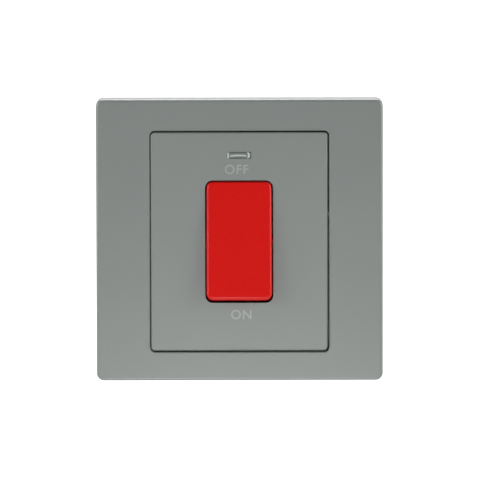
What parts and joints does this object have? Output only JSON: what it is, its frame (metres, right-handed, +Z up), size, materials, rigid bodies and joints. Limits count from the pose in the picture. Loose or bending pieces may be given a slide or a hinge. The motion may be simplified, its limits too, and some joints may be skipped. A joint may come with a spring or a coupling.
{
  "type": "double pole switch",
  "caption": "flush wall switch with a silver-grey clip-on surround, a long red rocker, a neon indicator window and a working two-pole contact mechanism",
  "frame": {"origin": "on the wall surface, midway between the two fixing slots, behind the rocker's centre", "axes": "+X to the right and +Z up as seen from the room, +Y into the wall; the rocker faces -Y"},
  "size_m": [0.086, 0.0384, 0.0847],
  "materials": {
    "surround_silver": "satin metallic silver-grey paint on moulded plastic",
    "fascia_silver": "satin metallic silver-grey paint on moulded plastic",
    "rocker_red": "semi-gloss red moulded plastic",
    "lens_clear": "clear polished plastic over a dark recess",
    "lamp_glass": "thin clear glass",
    "resistor_body": "beige lacquer with plain colour bands",
    "lead_wire": "tinned wire",
    "housing_moulding": "white thermoset moulding, fine moulded grain",
    "plated_steel": "zinc-plated steel",
    "spring_wire": "drawn spring wire",
    "plunger_nylon": "natural nylon",
    "contact_copper": "rolled copper strip",
    "contact_silver": "silver contact rivet",
    "terminal_brass": "machined brass"
  },
  "bodies": {
    "base": {"outer_frame": "surround_silver", "cover_plate": "fascia_silver", "neon_lens": "lens_clear", "neon_lamp": "lamp_glass", "lamp_resistor": "resistor_body", "lamp_lead_upper": "lead_wire", "lamp_lead_lower": "lead_wire", "lamp_lead_left": "lead_wire", "rear_housing": "housing_moulding", "housing_screws": "plated_steel", "fixed_tip_left": "contact_silver", "supply_bar_left": "contact_copper", "load_bar_left": "contact_copper", "terminal_block_supply_left": "terminal_brass", "terminal_block_load_left": "terminal_brass", "fixed_tip_right": "contact_silver", "supply_bar_right": "contact_copper", "load_bar_right": "contact_copper", "terminal_block_supply_right": "terminal_brass", "terminal_block_load_right": "terminal_brass"},
    "rocker": {"rocker": "rocker_red", "spring_left": "spring_wire", "spring_right": "spring_wire"},
    "plunger_left": {"plunger_left": "plunger_nylon"},
    "contact_arm_left": {"contact_arm_left": "contact_copper", "moving_tip_left": "contact_silver"},
    "terminal_screw_supply_left": {"terminal_screw_supply_left": "plated_steel"},
    "terminal_screw_load_left": {"terminal_screw_load_left": "plated_steel"},
    "plunger_right": {"plunger_right": "plunger_nylon"},
    "contact_arm_right": {"contact_arm_right": "contact_copper", "moving_tip_right": "contact_silver"},
    "terminal_screw_supply_right": {"terminal_screw_supply_right": "plated_steel"},
    "terminal_screw_load_right": {"terminal_screw_load_right": "plated_steel"}
  },
  "joints": [
    {"name": "rocker_hinge", "type": "hinge", "parent": "base", "child": "rocker", "pos_m": [0, -0.004, 0], "axis": [1, 0, 0], "range_deg": [0, 11]},
    {"name": "plunger_left_slide", "type": "slide", "parent": "rocker", "child": "plunger_left", "axis": [0, 0.9954, -0.0958], "range_m": [-0.0012, 0], "stiffness_N_per_m": 300, "springref_m": 0.003, "deforming": ["spring_left"]},
    {"name": "contact_arm_left_hinge", "type": "hinge", "parent": "base", "child": "contact_arm_left", "pos_m": [-0.0055, 0.00935, 0], "axis": [1, 0, 0], "range_deg": [-12, 0]},
    {"name": "terminal_screw_supply_left_travel", "type": "slide", "parent": "base", "child": "terminal_screw_supply_left", "axis": [0, -1, 0], "range_m": [0, 0.0028]},
    {"name": "terminal_screw_load_left_travel", "type": "slide", "parent": "base", "child": "terminal_screw_load_left", "axis": [0, -1, 0], "range_m": [0, 0.0028]},
    {"name": "plunger_right_slide", "type": "slide", "parent": "rocker", "child": "plunger_right", "axis": [0, 0.9954, -0.0958], "range_m": [-0.0012, 0], "stiffness_N_per_m": 300, "springref_m": 0.003, "deforming": ["spring_right"]},
    {"name": "contact_arm_right_hinge", "type": "hinge", "parent": "base", "child": "contact_arm_right", "pos_m": [0.0055, 0.00935, 0], "axis": [1, 0, 0], "range_deg": [-12, 0]},
    {"name": "terminal_screw_supply_right_travel", "type": "slide", "parent": "base", "child": "terminal_screw_supply_right", "axis": [0, -1, 0], "range_m": [0, 0.0028]},
    {"name": "terminal_screw_load_right_travel", "type": "slide", "parent": "base", "child": "terminal_screw_load_right", "axis": [0, -1, 0], "range_m": [0, 0.0028]}
  ],
  "couplings": [
    {"joint": "contact_arm_left_hinge", "follows": "rocker_hinge", "ratio": -1.0909},
    {"joint": "contact_arm_right_hinge", "follows": "rocker_hinge", "ratio": -1.0909}
  ]
}
